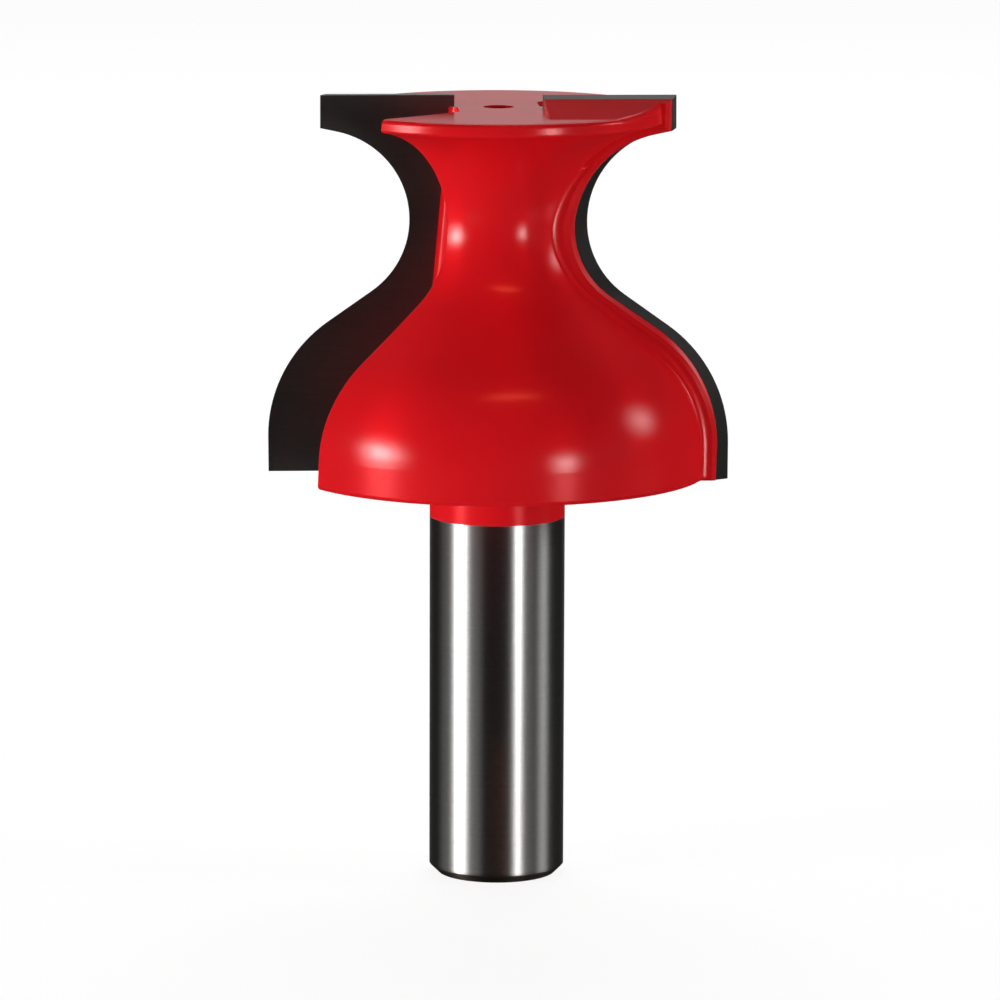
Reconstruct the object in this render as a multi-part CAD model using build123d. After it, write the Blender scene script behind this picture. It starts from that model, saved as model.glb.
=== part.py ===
"""Two-flute profile router bit: a turned steel body with a half-inch shank and two brazed carbide tips.

Millimetres, +Z up. The origin is the centre of the shank's end face, and the wings lie along X.
The bit cuts turning counter-clockwise as seen from the tip end, so the right wing's rake face looks to +Y.
"""
import os
from math import acos, asin, atan2, cos, hypot, pi, radians, sin, sqrt, tan

from build123d import *

# Shank
SHANK_DIAMETER = 12.7
SHANK_LENGTH = 38.3
SHANK_CHAMFER = 0.8
SHANK_FILLET = 0.6

# Cutting profile from its foot up: upright edge, bell, straight flank, cove, sloping flange, upright edge
BELL_RADIUS = 21.6
BELL_EDGE = 3.35
BELL_ARC = 13.5
FLANK_STRAIGHT = 5.0
WAIST_RADIUS = 8.3
COVE_ARC = 8.4
FLANGE_SLOPE = 12.0
FLANGE_LAND = 1.6
FLANGE_EDGE = 3.09

# Carbide tips
TIP_THICKNESS = 2.5
TIP_INNER_END = 4.1
TIP_FOOT = 11.5
TIP_FOOT_HEIGHT = 6.0
TIP_KNEE_HEIGHT = 19.0
TIP_DROP = 0.35
RAKE_OFFSET = 1.45
SHEAR_ANGLE = 4.35
RADIAL_RELIEF_TOP = 7.2
RADIAL_RELIEF_BOTTOM = 15.9
TOP_RELIEF = 3.0
BOTTOM_RELIEF = 7.0

# Steel head
TIP_RISE = 1.1
RIM_SETBACK = 1.05
FLANGE_SETBACK = 0.95
NECK_SETBACK = 1.15
BELL_SETBACK = 1.8
RIM_ROUND = 0.45
RIM_LOWER_ROUND = 0.25
BELL_ROUND = 0.4
CENTRE_HOLE_RADIUS = 1.45
CENTRE_HOLE_ANGLE = 60.0
CENTRE_PILOT_RADIUS = 0.55
CENTRE_PILOT_DEPTH = 1.2

# Wings behind the tips, whose heels keep this share of the cutting profile's radii
WING_THICKNESS = 1.8
WING_SETBACK = 0.06
HEEL_SHARE = 0.975
HEEL_SETBACK = 0.3
HEEL_CHAMFER = 0.3
RAMP_ANGLE = 6.4
RAMP_OVERRUN = 0.3
RAMP_DEPTH = 0.85

# Gullets, measured at the top face and at the bell's underside
GULLET_FLOOR_TOP = 3.8
GULLET_FLOOR_BOTTOM = 6.75
GULLET_ROOT_TOP = 4.3
GULLET_ROOT_BOTTOM = 6.85
GULLET_WALL_TOP = 41.2
GULLET_WALL_BOTTOM = 17.0
GULLET_FRONT_ROUND = 0.8
GULLET_ROOT_ROUND = 0.9

SHANK_RADIUS = SHANK_DIAMETER / 2
UNDERSIDE = SHANK_LENGTH
COVE_AXIS = WAIST_RADIUS + COVE_ARC
BELL_AXIS = BELL_RADIUS - BELL_ARC
SLOPE = radians(FLANGE_SLOPE)
TOP_RADIUS = COVE_AXIS - COVE_ARC * sin(SLOPE) + FLANGE_LAND
WAIST_HEIGHT = BELL_EDGE + sqrt((COVE_ARC + BELL_ARC) ** 2 + FLANK_STRAIGHT**2 - (COVE_AXIS - BELL_AXIS) ** 2)
CUTTING_HEIGHT = WAIST_HEIGHT + COVE_ARC * cos(SLOPE) + FLANGE_LAND * tan(SLOPE) + FLANGE_EDGE
EDGE_BOTTOM = UNDERSIDE - TIP_DROP
EDGE_TOP = EDGE_BOTTOM + CUTTING_HEIGHT
DISC_TOP = EDGE_TOP - TIP_RISE
EDGE_MIDDLE = (EDGE_BOTTOM + EDGE_TOP) / 2
REACH = 1.5 * BELL_RADIUS


def profile(top_radius, waist_radius, bell_radius, cove_arc, bell_arc):
    """Corner and mid-arc points of the ogee, from the flange down, as (radius, height).

    The cove and the bell are arcs joined by their common tangent, and the flange's
    underside is tangent to the cove.
    """
    cove = (waist_radius + cove_arc, EDGE_BOTTOM + WAIST_HEIGHT)
    bell = (bell_radius - bell_arc, EDGE_BOTTOM + BELL_EDGE)
    spread = hypot(cove[0] - bell[0], cove[1] - bell[1])
    lean = atan2(cove[1] - bell[1], cove[0] - bell[0]) - acos((cove_arc + bell_arc) / spread)
    cove_start = (cove[0] - cove_arc * sin(SLOPE), cove[1] + cove_arc * cos(SLOPE))
    cove_end = (cove[0] - cove_arc * cos(lean), cove[1] - cove_arc * sin(lean))
    cove_above, cove_below = (pi / 2 - SLOPE) / 2, lean / 2
    bell_start = (bell[0] + bell_arc * cos(lean), bell[1] + bell_arc * sin(lean))
    bell_middle = (bell[0] + bell_arc * cos(lean / 2), bell[1] + bell_arc * sin(lean / 2))
    return {
        "flange": (top_radius, cove_start[1] + (top_radius - cove_start[0]) * tan(SLOPE)),
        "cove_start": cove_start,
        "cove_upper": (cove[0] - cove_arc * cos(cove_above), cove[1] + cove_arc * sin(cove_above)),
        "waist": (waist_radius, cove[1]),
        "cove_lower": (cove[0] - cove_arc * cos(cove_below), cove[1] - cove_arc * sin(cove_below)),
        "cove_end": cove_end,
        "bell_start": bell_start,
        "bell_middle": bell_middle,
        "bell_end": (bell_radius, bell[1]),
    }


def profile_edges(at, points):
    """The ogee's edges, with each (radius, height) placed by the function `at`."""
    p = {name: at(*point) for name, point in points.items()}
    return [
        Line(p["flange"], p["cove_start"]),
        ThreePointArc(p["cove_start"], p["cove_upper"], p["waist"]),
        ThreePointArc(p["waist"], p["cove_lower"], p["cove_end"]),
        Line(p["cove_end"], p["bell_start"]),
        ThreePointArc(p["bell_start"], p["bell_middle"], p["bell_end"]),
    ]


def closed_face(edges, points):
    """A face whose outline runs along `edges` and then through `points` back to its start."""
    corners = [edges[-1] @ 1, *points, edges[0] @ 0]
    sides = [Line(a, b) for a, b in zip(corners, corners[1:])]
    return Face(Wire([*edges, *sides]))


def cutting_profile():
    return profile(TOP_RADIUS, WAIST_RADIUS, BELL_RADIUS, COVE_ARC, BELL_ARC)


def body_profile():
    return profile(
        TOP_RADIUS - RIM_SETBACK,
        WAIST_RADIUS - NECK_SETBACK,
        BELL_RADIUS - BELL_SETBACK,
        COVE_ARC + FLANGE_SETBACK,
        BELL_ARC - BELL_SETBACK,
    )


def rake_depth(z):
    """Distance of a rake face from the plane through the axis, which the shear changes with height."""
    return RAKE_OFFSET + (EDGE_MIDDLE - z) * tan(radians(SHEAR_ANGLE))


def radial_relief(z):
    """Slope of the tip's flank, which is steeper towards the shank."""
    share = (EDGE_TOP - z) / CUTTING_HEIGHT
    return tan(radians(RADIAL_RELIEF_TOP + (RADIAL_RELIEF_BOTTOM - RADIAL_RELIEF_TOP) * share))


def flank_point(radius, z, behind):
    """Point of the tip's relieved flank, `behind` the cutting edge's point at this radius and height."""
    y = rake_depth(z) + behind
    edge_angle = asin(rake_depth(z) / radius)
    relieved = radius
    for _ in range(12):
        relieved = radius * (1 - (asin(y / relieved) - edge_angle) * radial_relief(z))
    return Vector(sqrt(relieved**2 - y**2), -y, z)


def tip_top(behind):
    return EDGE_TOP - behind * tan(radians(TOP_RELIEF))


def tip_bottom(behind):
    return EDGE_BOTTOM + behind * tan(radians(BOTTOM_RELIEF))


def seat(x, z, behind):
    """Point of the plane that lies `behind` the rake face."""
    return Vector(x, -rake_depth(z) - behind, z)


def tip_face(behind):
    """Outline of the right-hand tip in the plane that lies `behind` the rake face."""
    edges = profile_edges(lambda r, z: flank_point(r, z, behind), cutting_profile())
    low, high = tip_bottom(behind), tip_top(behind)
    return closed_face(
        edges,
        [
            flank_point(BELL_RADIUS, low, behind),
            seat(TIP_FOOT, low, behind),
            seat(TIP_FOOT, EDGE_BOTTOM + TIP_FOOT_HEIGHT, behind),
            seat(TIP_INNER_END, EDGE_BOTTOM + TIP_KNEE_HEIGHT, behind),
            seat(TIP_INNER_END, high, behind),
            flank_point(TOP_RADIUS, high, behind),
        ],
    )


def make_tip():
    return loft([tip_face(0), tip_face(TIP_THICKNESS)], ruled=True)


def make_turned_body():
    """Shank and ogee head, turned from one bar, with a centre hole in the top face."""
    bell_radius = BELL_RADIUS - BELL_SETBACK
    rim_radius = TOP_RADIUS - RIM_SETBACK
    cone_depth = (CENTRE_HOLE_RADIUS - CENTRE_PILOT_RADIUS) / tan(radians(CENTRE_HOLE_ANGLE / 2))
    pilot_floor = DISC_TOP - cone_depth - CENTRE_PILOT_DEPTH
    half_section = closed_face(
        profile_edges(lambda r, z: Vector(r, 0, z), body_profile()),
        [
            Vector(bell_radius, 0, UNDERSIDE),
            Vector(SHANK_RADIUS, 0, UNDERSIDE),
            Vector(SHANK_RADIUS, 0, SHANK_CHAMFER),
            Vector(SHANK_RADIUS - SHANK_CHAMFER, 0, 0),
            Vector(0, 0, 0),
            Vector(0, 0, pilot_floor),
            Vector(CENTRE_PILOT_RADIUS, 0, pilot_floor),
            Vector(CENTRE_PILOT_RADIUS, 0, DISC_TOP - cone_depth),
            Vector(CENTRE_HOLE_RADIUS, 0, DISC_TOP),
            Vector(rim_radius, 0, DISC_TOP),
        ],
    )
    rounds = [
        (rim_radius, DISC_TOP, RIM_ROUND),
        (*body_profile()["flange"], RIM_LOWER_ROUND),
        (bell_radius, UNDERSIDE, BELL_ROUND),
        (SHANK_RADIUS, UNDERSIDE, SHANK_FILLET),
    ]
    for radius, height, rounding in rounds:
        corner = half_section.vertices().sort_by_distance((radius, 0, height))[0]
        half_section = half_section.fillet_2d(rounding, [corner])
    return revolve(half_section, Axis.Z, 360)


def heel_profile(setback):
    """The cutting profile drawn in for the wing's heel, which has to clear the cut."""
    arc_change = HEEL_SETBACK + setback
    return profile(
        TOP_RADIUS * HEEL_SHARE - setback,
        WAIST_RADIUS * HEEL_SHARE - setback,
        BELL_RADIUS * HEEL_SHARE - setback,
        COVE_ARC + arc_change,
        BELL_ARC - arc_change,
    )


def ramp_height(behind):
    """The wing's top, which falls from the tip's back edge towards the disc."""
    return tip_top(TIP_THICKNESS) - (behind - TIP_THICKNESS) * tan(radians(RAMP_ANGLE))


def wing_face(behind, at, points):
    """Outline of the wing in the plane that lies `behind` the rake face."""
    low, high = tip_bottom(behind), ramp_height(behind)
    top_radius, bell_radius = points["flange"][0], points["bell_end"][0]
    return closed_face(
        profile_edges(at, points),
        [
            at(bell_radius, low),
            seat(TIP_INNER_END, low, behind),
            seat(TIP_INNER_END, high, behind),
            at(top_radius, high),
        ],
    )


def make_ramp():
    """The right-hand wing's top carried on as a ramp that runs out in the disc."""
    radius = TOP_RADIUS - RIM_SETBACK - WING_SETBACK
    floor = DISC_TOP - RAMP_DEPTH
    run = (tip_top(TIP_THICKNESS) - DISC_TOP + RAMP_OVERRUN) / tan(radians(RAMP_ANGLE))
    end = TIP_THICKNESS + run
    corners = [
        (TIP_THICKNESS, floor),
        (TIP_THICKNESS, ramp_height(TIP_THICKNESS)),
        (end, ramp_height(end)),
        (end, floor),
    ]
    side = Face(Wire.make_polygon([seat(TIP_INNER_END, z, behind) for behind, z in corners]))
    wedge = extrude(side, amount=REACH, dir=(1, 0, 0))
    height = ramp_height(TIP_THICKNESS) - floor
    disc = Pos(0, 0, floor + height / 2) * Cylinder(radius, 2 * height)
    ramp = wedge & disc
    rim = ramp.edges().filter_by(GeomType.LINE, reverse=True).sort_by(Axis.Z)[-1]
    return fillet(rim, RIM_ROUND)


def make_wing():
    """Flat-backed steel wing behind the right-hand tip, with a chamfered heel, and its ramp."""

    def under_tip(radius, z):
        return flank_point(radius, z, TIP_THICKNESS) - Vector(WING_SETBACK, 0, 0)

    def heel_point(behind):
        def at(radius, z):
            y = rake_depth(z) + behind
            return Vector(sqrt(radius**2 - y**2), -y, z)

        return at

    heel = TIP_THICKNESS + WING_THICKNESS
    faces = [
        wing_face(TIP_THICKNESS, under_tip, cutting_profile()),
        wing_face(heel - HEEL_CHAMFER, heel_point(heel - HEEL_CHAMFER), heel_profile(0)),
        wing_face(heel, heel_point(heel), heel_profile(HEEL_CHAMFER)),
    ]
    return loft(faces, ruled=True) + make_ramp()


def gullet_section(z, floor, root, wall_angle):
    """Chip space in front of the right-hand rake face at height z: floor, root and opening wall."""
    rake = -rake_depth(z)
    direction = radians(wall_angle)
    corners = [
        Vector(REACH, rake, z),
        Vector(floor, rake, z),
        Vector(floor, root, z),
        Vector(floor + REACH * cos(direction), root + REACH * sin(direction), z),
    ]
    path = FilletPolyline(*corners, radius=[GULLET_FRONT_ROUND, GULLET_ROOT_ROUND])
    return Face(Wire([*path.edges(), Line(corners[-1], corners[0])]))


def make_gullet():
    """The two measured sections carried on in a straight line past the top and the underside."""
    height = DISC_TOP - UNDERSIDE
    share = (EDGE_TOP + TIP_RISE - DISC_TOP) / height

    def beyond(top, bottom):
        return top + (top - bottom) * share

    top = gullet_section(
        EDGE_TOP + TIP_RISE,
        beyond(GULLET_FLOOR_TOP, GULLET_FLOOR_BOTTOM),
        beyond(GULLET_ROOT_TOP, GULLET_ROOT_BOTTOM),
        beyond(GULLET_WALL_TOP, GULLET_WALL_BOTTOM),
    )
    bottom = gullet_section(
        UNDERSIDE - (EDGE_TOP + TIP_RISE - DISC_TOP),
        GULLET_FLOOR_BOTTOM + (GULLET_FLOOR_BOTTOM - GULLET_FLOOR_TOP) * share,
        GULLET_ROOT_BOTTOM + (GULLET_ROOT_BOTTOM - GULLET_ROOT_TOP) * share,
        GULLET_WALL_BOTTOM + (GULLET_WALL_BOTTOM - GULLET_WALL_TOP) * share,
    )
    return loft([bottom, top], ruled=True)


def opposite(shape):
    return shape.rotate(Axis.Z, 180)


def make_body(tips):
    head = make_turned_body()
    wing, gullet = make_wing(), make_gullet()
    head = head + wing + opposite(wing)
    head = head - gullet - opposite(gullet)
    for tip in tips:
        head = head - tip
    return head


def main():
    right_tip = make_tip()
    left_tip = opposite(right_tip)
    nodes = {
        "steel_body": make_body([right_tip, left_tip]),
        "right_carbide_tip": right_tip,
        "left_carbide_tip": left_tip,
    }
    os.makedirs("parts", exist_ok=True)
    for name, shape in nodes.items():
        export_step(shape, f"parts/{name}.step")


main()
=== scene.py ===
"""Looks of the two-flute profile router bit: red lacquered head, dark carbide tips and a ground steel shank.

Metres, in the part's own frame: +Z up the axis, the origin in the middle of the shank's end face.
"""
import math

import bmesh
import bpy
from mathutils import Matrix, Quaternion, Vector
from mathutils.bvhtree import BVHTree


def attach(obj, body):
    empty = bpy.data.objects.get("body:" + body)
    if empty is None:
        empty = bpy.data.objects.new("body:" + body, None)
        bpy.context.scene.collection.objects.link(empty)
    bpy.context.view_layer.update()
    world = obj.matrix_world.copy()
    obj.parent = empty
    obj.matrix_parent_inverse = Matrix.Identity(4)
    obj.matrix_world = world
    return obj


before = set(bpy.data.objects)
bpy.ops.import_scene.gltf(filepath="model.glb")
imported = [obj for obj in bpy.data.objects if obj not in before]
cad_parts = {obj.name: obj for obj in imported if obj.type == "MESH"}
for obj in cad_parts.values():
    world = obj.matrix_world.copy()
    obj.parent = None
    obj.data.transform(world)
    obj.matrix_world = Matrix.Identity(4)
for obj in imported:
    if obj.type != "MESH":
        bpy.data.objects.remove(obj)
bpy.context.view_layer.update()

# Camera, fitted to the bit's outline in the photograph
CAMERA_PLACE = Vector((-0.02874, -0.54838, 0.13091))
AIM_HEIGHT = 0.03555
AIM_SHIFT = 0.00025
CAMERA_ROLL = 0.0031
CAMERA_LENS = 213.7
SENSOR_WIDTH = 36.0
NEAREST_SEEN = 0.01

# Lamps and surroundings
LAMP_DISTANCE = 1.0
LIT_HEIGHT = 0.055
CORE_SPREAD = 0.36
HALO_EDGE = 0.4
WARM = (1, 0.2, 0.08)
FRONT_FILL = 0.05
BACK_FILL = 0.45
DARK_ROOM = 0.015
BACKDROP_LEVEL = 0.85
BACKDROP_RISE = 4.0

# Floor: its own grey, what it adds for the camera, and what it throws back up at the bit
FLOOR_SIZE = 4.0
FLOOR_GREY = (0.28, 0.28, 0.28, 1)
FLOOR_GLOW = 0.87
FLOOR_BOUNCE = 0.26

# Finish
PAINT_LINE = 0.03415
PAINT_LINE_WANDER = 0.00003
CHAMFER_TOP = 0.0011
LACQUER_SPARKLE = 0.1
LACQUER_COAT = 0.46
COAT_ROUGHNESS = 0.18
COAT_IOR = 1.5
GRAIN = 0.85
GRAIN_TURN = 0.25
PEEL_DEPTH = 0.000004
SWELL_DEPTH = 0.00003
GRIND_DEPTH = 0.000003
CARBIDE_METAL = 0.86
CARBIDE_LINE_DEPTH = 0.000002

# Colours
RED = (0.82, 0.009, 0.014)
DEEP_RED = (0.77, 0.008, 0.013)
DARK_STEEL = (0.44, 0.44, 0.44)
PALE_STEEL = (0.66, 0.65, 0.63)
STEEL_STAIN = (0.46, 0.42, 0.37)
CHAMFER_BROWN = (0.24, 0.16, 0.11)
DARK_CARBIDE = (0.072, 0.073, 0.070)
PALE_CARBIDE = (0.100, 0.102, 0.097)
CARBIDE_STAIN = (0.100, 0.074, 0.062)

# Lacquer pooled where the wings leave the round head
ROOT_BOTTOM = 0.0385
ROOT_TOP = 0.0680
ROOT_STEP = 0.0004
ROOT_SHARE = 0.9
ROOT_WIDEST = 0.0014
HEAD_SHARE = 0.5
ROOT_NARROWEST = 0.0002
ROOT_SUNK = 0.00002
ROOT_BURIED = 0.0001
ROOT_POINTS = 9
ROUND_SIDE = -75
BACK_FROM = 0.4
BACK_TO = 1.4
BACK_STEP = 0.00003
BACK_FACING = 0.97
OUTSIDE = 0.04


def camera_axes():
    """Level unit vectors from the bit towards the camera and to the picture's right."""
    towards = Vector((CAMERA_PLACE.x, CAMERA_PLACE.y, 0)).normalized()
    right = Vector((-towards.y, towards.x, 0))
    return towards, right


def direction(azimuth, elevation):
    """Unit vector away from the bit: azimuth 0 is towards the camera, 90 to the picture's right."""
    towards, right = camera_axes()
    turn = math.radians(azimuth)
    rise = math.radians(elevation)
    level = towards * math.cos(turn) + right * math.sin(turn)
    return level * math.cos(rise) + Vector((0, 0, math.sin(rise)))


def make_camera():
    data = bpy.data.cameras.new("camera")
    data.lens = CAMERA_LENS
    data.sensor_width = SENSOR_WIDTH
    data.clip_start = NEAREST_SEEN
    camera = bpy.data.objects.new("camera", data)
    bpy.context.scene.collection.objects.link(camera)
    right = camera_axes()[1]
    aim = Vector((0, 0, AIM_HEIGHT)) + right * AIM_SHIFT
    camera.rotation_mode = "QUATERNION"
    camera.location = CAMERA_PLACE
    look = (aim - CAMERA_PLACE).to_track_quat("-Z", "Y")
    camera.rotation_quaternion = look @ Quaternion((0, 0, 1), CAMERA_ROLL)
    bpy.context.scene.camera = camera


class Tree:
    """A material's, lamp's or world's nodes, with short calls to add and join them."""

    def __init__(self, owner):
        owner.use_nodes = True
        self.tree = owner.node_tree
        self.tree.nodes.clear()

    def add(self, kind, inputs=(), **settings):
        """A new node, its settings, and for each input a value or the output that feeds it."""
        node = self.tree.nodes.new(kind)
        for key, value in settings.items():
            setattr(node, key, value)
        for key, value in dict(inputs).items():
            if isinstance(value, bpy.types.NodeSocket):
                self.tree.links.new(value, node.inputs[key])
            else:
                node.inputs[key].default_value = value
        return node

    def maths(self, operation, *values):
        return self.add("ShaderNodeMath", enumerate(values), operation=operation).outputs[0]

    def dot(self, first, second):
        inputs = {0: first, 1: second}
        return self.add("ShaderNodeVectorMath", inputs, operation="DOT_PRODUCT").outputs["Value"]

    def noise(self, vector, scale, detail=2.0, roughness=0.5):
        inputs = {"Vector": vector, "Scale": scale, "Detail": detail, "Roughness": roughness}
        return self.add("ShaderNodeTexNoise", inputs).outputs["Fac"]

    def stretched(self, vector, scale):
        return self.add("ShaderNodeMapping", {"Vector": vector, "Scale": scale}).outputs[0]

    def ranged(self, value, low, high, to_low, to_high, soft=False):
        inputs = {"Value": value, "From Min": low, "From Max": high, "To Min": to_low, "To Max": to_high}
        step = "SMOOTHSTEP" if soft else "LINEAR"
        return self.add("ShaderNodeMapRange", inputs, interpolation_type=step).outputs[0]

    def mixed(self, factor, first, second):
        """A number between two numbers."""
        inputs = {0: factor, 2: first, 3: second}
        return self.add("ShaderNodeMix", inputs, data_type="FLOAT").outputs[0]

    def tinted(self, factor, first, second):
        """A colour between two colours, given as three numbers or an output."""
        pair = [c if isinstance(c, bpy.types.NodeSocket) else (*c, 1) for c in (first, second)]
        inputs = {0: factor, 6: pair[0], 7: pair[1]}
        return self.add("ShaderNodeMix", inputs, data_type="RGBA").outputs[2]

    def bump(self, height, distance, normal=None):
        inputs = {"Height": height, "Distance": distance, "Strength": 1.0}
        if normal:
            inputs["Normal"] = normal
        return self.add("ShaderNodeBump", inputs).outputs[0]


def softbox(name, azimuth, elevation, half_width, half_height, halo, core, colour=(1, 1, 1)):
    """A lamp that spans so many degrees as seen from the bit: a hot core in a dimmer round halo."""
    across = 2 * LAMP_DISTANCE * math.tan(math.radians(half_width))
    upright = 2 * LAMP_DISTANCE * math.tan(math.radians(half_height))
    data = bpy.data.lights.new(name, "AREA")
    data.shape = "RECTANGLE"
    data.size = across
    data.size_y = upright
    data.energy = math.pi * across * upright
    data.color = colour
    t = Tree(data)
    spot = t.add("ShaderNodeNewGeometry").outputs["Parametric"]
    middle = t.add("ShaderNodeVectorMath", {0: spot, 1: (0.5, 0.5, 0)}, operation="SUBTRACT").outputs[0]
    reach = t.add("ShaderNodeVectorMath", {0: middle}, operation="LENGTH").outputs["Value"]
    radius = t.maths("MULTIPLY", reach, 2.0)
    glow = t.ranged(radius, 1.0, HALO_EDGE, 0.0, halo, soft=True)
    inner = t.maths("DIVIDE", radius, CORE_SPREAD)
    fall = t.maths("EXPONENT", t.maths("MULTIPLY", t.maths("MULTIPLY", inner, inner), -1.0))
    level = t.maths("MULTIPLY_ADD", fall, core, glow)
    shine = t.add("ShaderNodeEmission", {"Color": (1, 1, 1, 1), "Strength": level})
    t.add("ShaderNodeOutputLight", {0: shine.outputs[0]})
    lamp = bpy.data.objects.new(name, data)
    bpy.context.scene.collection.objects.link(lamp)
    away = direction(azimuth, elevation)
    lamp.location = Vector((0, 0, LIT_HEIGHT)) + away * LAMP_DISTANCE
    lamp.rotation_mode = "QUATERNION"
    lamp.rotation_quaternion = away.to_track_quat("Z", "Y")
    lamp.visible_camera = False
    return lamp


def make_world():
    """White behind the bit for the camera, dark with a few pale cards for reflections, and a soft fill."""
    world = bpy.data.worlds.new("world")
    bpy.context.scene.world = world
    t = Tree(world)
    towards, right = camera_axes()
    place = t.add("ShaderNodeTexCoord").outputs["Generated"]
    ahead = t.dot(place, towards)
    turn = t.maths("DEGREES", t.maths("ARCTAN2", t.dot(place, right), ahead))
    rise = t.maths("DEGREES", t.maths("ARCSINE", t.dot(place, (0, 0, 1))))

    def card(azimuth, elevation, half_width, half_height, level):
        """A pale card with soft edges that only reflections see."""
        across = t.maths("DIVIDE", t.maths("SUBTRACT", turn, azimuth), half_width)
        upright = t.maths("DIVIDE", t.maths("SUBTRACT", rise, elevation), half_height)
        across = t.ranged(t.maths("ABSOLUTE", across), 1.0, 0.2, 0.0, 1.0, soft=True)
        upright = t.ranged(t.maths("ABSOLUTE", upright), 1.0, 0.6, 0.0, level, soft=True)
        return t.maths("MULTIPLY", across, upright)

    cards = [
        card(-40, -19, 20, 9, 0.50),
        card(-96, -19, 28, 9, 0.28),
        card(56, -19, 20, 9, 0.40),
        card(87, -19, 18, 9, 0.80),
    ]
    reflected = t.maths("ADD", DARK_ROOM, cards[0])
    for extra in cards[1:]:
        reflected = t.maths("ADD", reflected, extra)
    behind = t.ranged(ahead, -0.84, -0.95, 0.0, 1.0, soft=True)
    above = t.maths("ABSOLUTE", t.maths("SUBTRACT", rise, BACKDROP_RISE))
    band = t.ranged(above, 10.0, 6.0, 0.0, BACKDROP_LEVEL, soft=True)
    reflected = t.maths("ADD", reflected, t.maths("MULTIPLY", behind, band))

    fill = t.ranged(ahead, 0.1, -0.8, FRONT_FILL, BACK_FILL, soft=True)
    rays = t.add("ShaderNodeLightPath")
    seen = t.mixed(rays.outputs["Is Glossy Ray"], fill, reflected)
    level = t.mixed(rays.outputs["Is Camera Ray"], seen, 1.0)
    shine = t.add("ShaderNodeBackground", {"Color": (1, 1, 1, 1), "Strength": level})
    t.add("ShaderNodeOutputWorld", {"Surface": shine.outputs[0]})


def make_floor():
    """A plain pale floor that keeps the bit's shadow."""
    mesh = bpy.data.meshes.new("floor")
    shape = bmesh.new()
    bmesh.ops.create_grid(shape, x_segments=1, y_segments=1, size=FLOOR_SIZE / 2)
    shape.to_mesh(mesh)
    shape.free()
    floor = bpy.data.objects.new("floor", mesh)
    bpy.context.scene.collection.objects.link(floor)
    material = bpy.data.materials.new("floor")
    t = Tree(material)
    rays = t.add("ShaderNodeLightPath")
    matt = t.add("ShaderNodeBsdfDiffuse", {"Color": FLOOR_GREY})
    level = t.mixed(rays.outputs["Is Camera Ray"], FLOOR_BOUNCE, FLOOR_GLOW)
    glow = t.add("ShaderNodeEmission", {"Color": (1, 1, 1, 1), "Strength": level})
    both = t.add("ShaderNodeAddShader", {0: matt.outputs[0], 1: glow.outputs[0]})
    t.add("ShaderNodeOutputMaterial", {"Surface": both.outputs[0]})
    mesh.materials.append(material)
    floor.visible_glossy = False
    floor.visible_shadow = False


def steel_material():
    """Red lacquer down to the paint line, and bare ground steel below it."""
    material = bpy.data.materials.new("lacquered_steel")
    t = Tree(material)
    place = t.add("ShaderNodeTexCoord").outputs["Object"]
    height = t.add("ShaderNodeSeparateXYZ", {0: place}).outputs["Z"]

    wander = t.ranged(t.noise(place, 350.0), 0.0, 1.0, -PAINT_LINE_WANDER, PAINT_LINE_WANDER)
    level = t.maths("ADD", height, wander)
    painted = t.ranged(level, PAINT_LINE - 0.00001, PAINT_LINE + 0.00001, 0.0, 1.0)

    cloud = t.ranged(t.noise(place, 90.0, 3.0), 0.3, 0.7, 0.0, 1.0)
    red = t.tinted(cloud, RED, DEEP_RED)
    rings = t.noise(t.stretched(place, (70, 70, 9000)), 1.0, 3.0, 0.6)
    patches = t.noise(t.stretched(place, (160, 160, 60)), 1.0, 4.0)
    specks = t.noise(place, 2600.0, 2.0)
    grey = t.tinted(t.mixed(0.5, rings, specks), DARK_STEEL, PALE_STEEL)
    grey = t.tinted(t.ranged(patches, 0.45, 0.75, 0.0, 0.45), grey, STEEL_STAIN)
    # The bottom chamfer is drawn darker and browner than the ground steel above it.
    grey = t.tinted(t.ranged(height, CHAMFER_TOP, CHAMFER_TOP / 2, 0.0, 0.8), grey, CHAMFER_BROWN)

    peel = t.noise(place, 900.0, 2.0)
    swell = t.noise(place, 160.0, 1.0)
    lacquer_skin = t.bump(peel, PEEL_DEPTH, t.bump(swell, SWELL_DEPTH))
    ground_skin = t.bump(rings, GRIND_DEPTH)
    skins = {0: painted, 4: ground_skin, 5: lacquer_skin}
    normal = t.add("ShaderNodeMix", skins, data_type="VECTOR").outputs[1]

    shader = t.add("ShaderNodeBsdfPrincipled")
    shader.inputs["Specular IOR Level"].default_value = 0.0
    shader.inputs["Anisotropic"].default_value = GRAIN
    shader.inputs["Anisotropic Rotation"].default_value = GRAIN_TURN
    shader.inputs["Coat Roughness"].default_value = COAT_ROUGHNESS
    shader.inputs["Coat IOR"].default_value = COAT_IOR
    around = t.add("ShaderNodeTangent", direction_type="RADIAL", axis="Z").outputs[0]
    t.tree.links.new(around, shader.inputs["Tangent"])
    t.tree.links.new(t.tinted(painted, grey, red), shader.inputs["Base Color"])
    t.tree.links.new(t.mixed(painted, 1.0, LACQUER_SPARKLE), shader.inputs["Metallic"])
    steel_roughness = t.ranged(patches, 0.2, 0.8, 0.28, 0.36)
    lacquer_roughness = t.ranged(cloud, 0.0, 1.0, 0.38, 0.42)
    t.tree.links.new(t.mixed(painted, steel_roughness, lacquer_roughness), shader.inputs["Roughness"])
    t.tree.links.new(t.maths("MULTIPLY", painted, LACQUER_COAT), shader.inputs["Coat Weight"])
    t.tree.links.new(normal, shader.inputs["Normal"])
    t.tree.links.new(normal, shader.inputs["Coat Normal"])
    t.add("ShaderNodeOutputMaterial", {"Surface": shader.outputs[0]})
    return material


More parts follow.
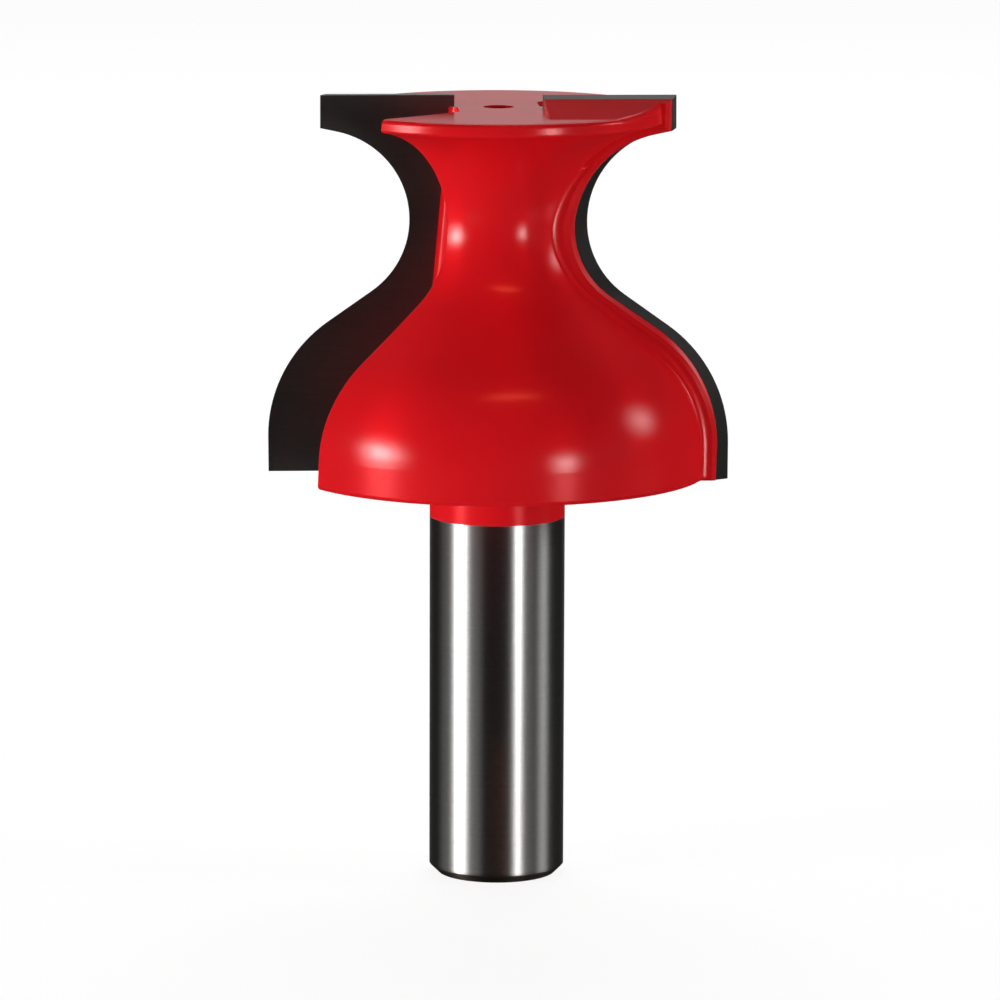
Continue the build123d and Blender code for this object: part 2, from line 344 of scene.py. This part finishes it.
def carbide_material():
    """Dark ground carbide, with the fine lines of the grinding wheel."""
    material = bpy.data.materials.new("carbide")
    t = Tree(material)
    place = t.add("ShaderNodeTexCoord").outputs["Object"]
    lines = t.noise(t.stretched(place, (300, 300, 7000)), 1.0, 3.0, 0.6)
    stain = t.noise(place, 220.0, 4.0, 0.6)
    tone = t.tinted(lines, DARK_CARBIDE, PALE_CARBIDE)
    tone = t.tinted(t.ranged(stain, 0.45, 0.8, 0.0, 0.6), tone, CARBIDE_STAIN)
    shader = t.add("ShaderNodeBsdfPrincipled", {"Base Color": tone, "Metallic": CARBIDE_METAL})
    t.tree.links.new(t.ranged(stain, 0.2, 0.8, 0.34, 0.46), shader.inputs["Roughness"])
    t.tree.links.new(t.bump(lines, CARBIDE_LINE_DEPTH), shader.inputs["Normal"])
    t.add("ShaderNodeOutputMaterial", {"Surface": shader.outputs[0]})
    return material


def dress(node, material):
    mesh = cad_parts[node].data
    mesh.materials.clear()
    mesh.materials.append(material)


def body_skin():
    """The steel body's surface, to seat pieces on."""
    shape = bmesh.new()
    shape.from_mesh(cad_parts["steel_body"].data)
    skin = BVHTree.FromBMesh(shape)
    shape.free()
    return skin


def add_piece(name, shape, material):
    """A smooth piece of lacquer on the steel body."""
    mesh = bpy.data.meshes.new(name)
    bmesh.ops.recalc_face_normals(shape, faces=shape.faces)
    shape.to_mesh(mesh)
    shape.free()
    mesh.materials.append(material)
    mesh.polygons.foreach_set("use_smooth", [True] * len(mesh.polygons))
    piece = bpy.data.objects.new(name, mesh)
    bpy.context.scene.collection.objects.link(piece)
    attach(piece, "root")


def root_ring(skin, side, height):
    """The pooled lacquer's outline at one height: a hollow curve from the head to the wing's flat back."""
    turn = math.radians(ROUND_SIDE)
    outward = Vector((math.cos(turn), math.sin(turn), 0)) * side
    start = outward * OUTSIDE + Vector((0, 0, height))
    radius = skin.ray_cast(start, -outward)[0].xy.length
    back = []
    across = radius * BACK_FROM
    while across < radius * BACK_TO:
        start = Vector((across * side, -OUTSIDE * side, height))
        place, normal = skin.ray_cast(start, Vector((0, side, 0)))[:2]
        if place and normal.y * side < -BACK_FACING:
            back.append(Vector((across, place.y * side)))
        across += BACK_STEP
    if len(back) < 2:
        return None
    corner = back[0]
    width = back[-1].x - corner.x
    reach = min(ROOT_SHARE * width, ROOT_WIDEST)
    if reach < ROOT_NARROWEST:
        return None
    turn = math.atan2(corner.y, corner.x) - HEAD_SHARE * reach / radius
    first = Vector((math.cos(turn), math.sin(turn))) * (radius - ROOT_SUNK)
    last = corner.lerp(back[-1], reach / width) + Vector((0, ROOT_SUNK))
    ring = []
    for k in range(ROOT_POINTS):
        share = k / (ROOT_POINTS - 1)
        ring.append(first * (1 - share) ** 2 + corner * (2 * share * (1 - share)) + last * share ** 2)
    ring.append(corner + Vector((-1, 1)) * ROOT_BURIED)
    return [Vector((p.x * side, p.y * side, height)) for p in ring]


def make_root(skin, side, name, material):
    shape = bmesh.new()
    rings = []
    for k in range(int((ROOT_TOP - ROOT_BOTTOM) / ROOT_STEP) + 1):
        ring = root_ring(skin, side, ROOT_BOTTOM + k * ROOT_STEP)
        if ring:
            rings.append([shape.verts.new(p) for p in ring])
    for low_ring, high_ring in zip(rings, rings[1:]):
        for k in range(len(low_ring)):
            n = (k + 1) % len(low_ring)
            shape.faces.new((low_ring[k], low_ring[n], high_ring[n], high_ring[k]))
    shape.faces.new(rings[0])
    shape.faces.new(rings[-1])
    add_piece(name, shape, material)


make_camera()
make_world()
make_floor()
softbox("left_box", -65, 1, 21, 14, 5, 38)
softbox("right_box", 36.5, -2, 12.5, 12, 3, 24)
softbox("back_box", 90, 19, 14, 14, 3, 8)
top_strip = softbox("top_strip", 13, 61, 18, 3, 11, 10, WARM)
top_strip.visible_diffuse = False
softbox("rear_box", 180, 48, 30, 16, 3, 0)
for side, azimuth, level in (("left", -86, 1.4), ("right", 70, 1.6)):
    wash = softbox(side + "_wash", azimuth, -6, 28, 25, level, 0)
    wash.visible_glossy = False

steel = steel_material()
dress("steel_body", steel)
skin = body_skin()
make_root(skin, 1, "right_root_lacquer", steel)
make_root(skin, -1, "left_root_lacquer", steel)
carbide = carbide_material()
dress("left_carbide_tip", carbide)
dress("right_carbide_tip", carbide)

bpy.context.scene.view_settings.view_transform = "Standard"
